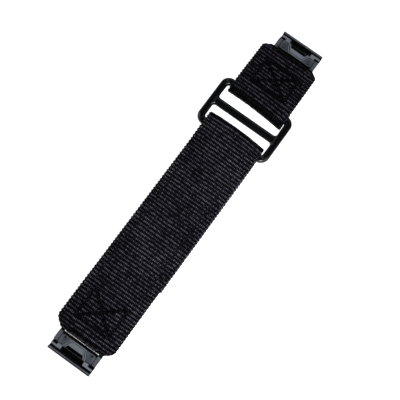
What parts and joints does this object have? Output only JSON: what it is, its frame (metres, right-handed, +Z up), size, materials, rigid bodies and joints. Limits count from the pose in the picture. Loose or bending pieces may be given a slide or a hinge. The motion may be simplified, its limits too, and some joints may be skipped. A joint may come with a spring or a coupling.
{
  "type": "webbing wrist strap",
  "caption": "Woven webbing wrist strap: long and short straps joined by a three-bar slide buckle, with a spring-latch connector on a cross pin at each end.",
  "frame": {"origin": "centre of the footprint, on the surface the strap lies on", "axes": "+X along the strap towards the short strap's connector, +Z up out of the inner (wrist) face"},
  "size_m": [0.1826, 0.0388, 0.0068],
  "materials": {
    "webbing": "ribbed black nylon",
    "loop_tape": "napped black loop pile",
    "hook_tape": "black hook pile",
    "thread": "black polyester thread",
    "buckle": "satin black",
    "connector": "satin dark grey coating",
    "latch": "satin dark grey coating",
    "steel": "bright"
  },
  "bodies": {
    "long_strap": {"long_strap_end": "webbing", "long_strap_run": "webbing", "loop_tape": "loop_tape", "loop_tape_stitching": "thread", "long_box_stitching": "thread"},
    "fold": {"long_strap_fold": "webbing"},
    "tail": {"long_strap_tail": "webbing", "hook_tape": "hook_tape"},
    "slide_buckle": {"buckle": "buckle"},
    "short_strap_body": {"short_strap": "webbing", "short_box_stitching": "thread"},
    "long_connector": {"long_end_connector_body": "connector", "long_end_connector_cover": "connector", "long_end_connector_screws": "steel", "long_end_strap_pin": "steel", "long_end_spring_left": "steel", "long_end_spring_right": "steel"},
    "long_latch": {"long_end_connector_latch": "latch"},
    "short_connector": {"short_end_connector_body": "connector", "short_end_connector_cover": "connector", "short_end_connector_screws": "steel", "short_end_strap_pin": "steel", "short_end_spring_left": "steel", "short_end_spring_right": "steel"},
    "short_latch": {"short_end_connector_latch": "latch"}
  },
  "joints": [
    {"name": "length_adjust", "type": "slide", "parent": "long_strap", "child": "fold", "axis": [1, 0, 0], "range_m": [-0.006, 0.014], "deforming": ["long_strap_run"]},
    {"name": "tail_slide", "type": "slide", "parent": "fold", "child": "tail", "axis": [1, 0, 0], "range_m": [-0.006, 0.014], "deforming": ["long_strap_tail"]},
    {"name": "buckle_hinge", "type": "hinge", "parent": "fold", "child": "slide_buckle", "pos_m": [0.0317, 0, 0.0033], "axis": [0, -1, 0], "range_deg": [-50, 70]},
    {"name": "short_strap_hinge", "type": "hinge", "parent": "slide_buckle", "child": "short_strap_body", "pos_m": [0.0546, 0, 0.0033], "axis": [0, -1, 0], "range_deg": [-50, 70]},
    {"name": "long_connector_hinge", "type": "hinge", "parent": "long_strap", "child": "long_connector", "pos_m": [-0.07895, 0, 0.00265], "axis": [0, 1, 0], "range_deg": [-30, 12]},
    {"name": "short_connector_hinge", "type": "hinge", "parent": "short_strap_body", "child": "short_connector", "pos_m": [0.07895, 0, 0.00265], "axis": [0, -1, 0], "range_deg": [-30, 12]},
    {"name": "long_latch_slide", "type": "slide", "parent": "long_connector", "child": "long_latch", "axis": [1, 0, 0], "range_m": [0, 0.0011], "stiffness_N_per_m": 300, "springref_m": -0.001, "deforming": ["long_end_spring_left", "long_end_spring_right"]},
    {"name": "short_latch_slide", "type": "slide", "parent": "short_connector", "child": "short_latch", "axis": [-1, 0, 0], "range_m": [0, 0.0011], "stiffness_N_per_m": 300, "springref_m": -0.001, "deforming": ["short_end_spring_left", "short_end_spring_right"]}
  ],
  "couplings": [
    {"joint": "tail_slide", "follows": "length_adjust", "ratio": 1}
  ]
}
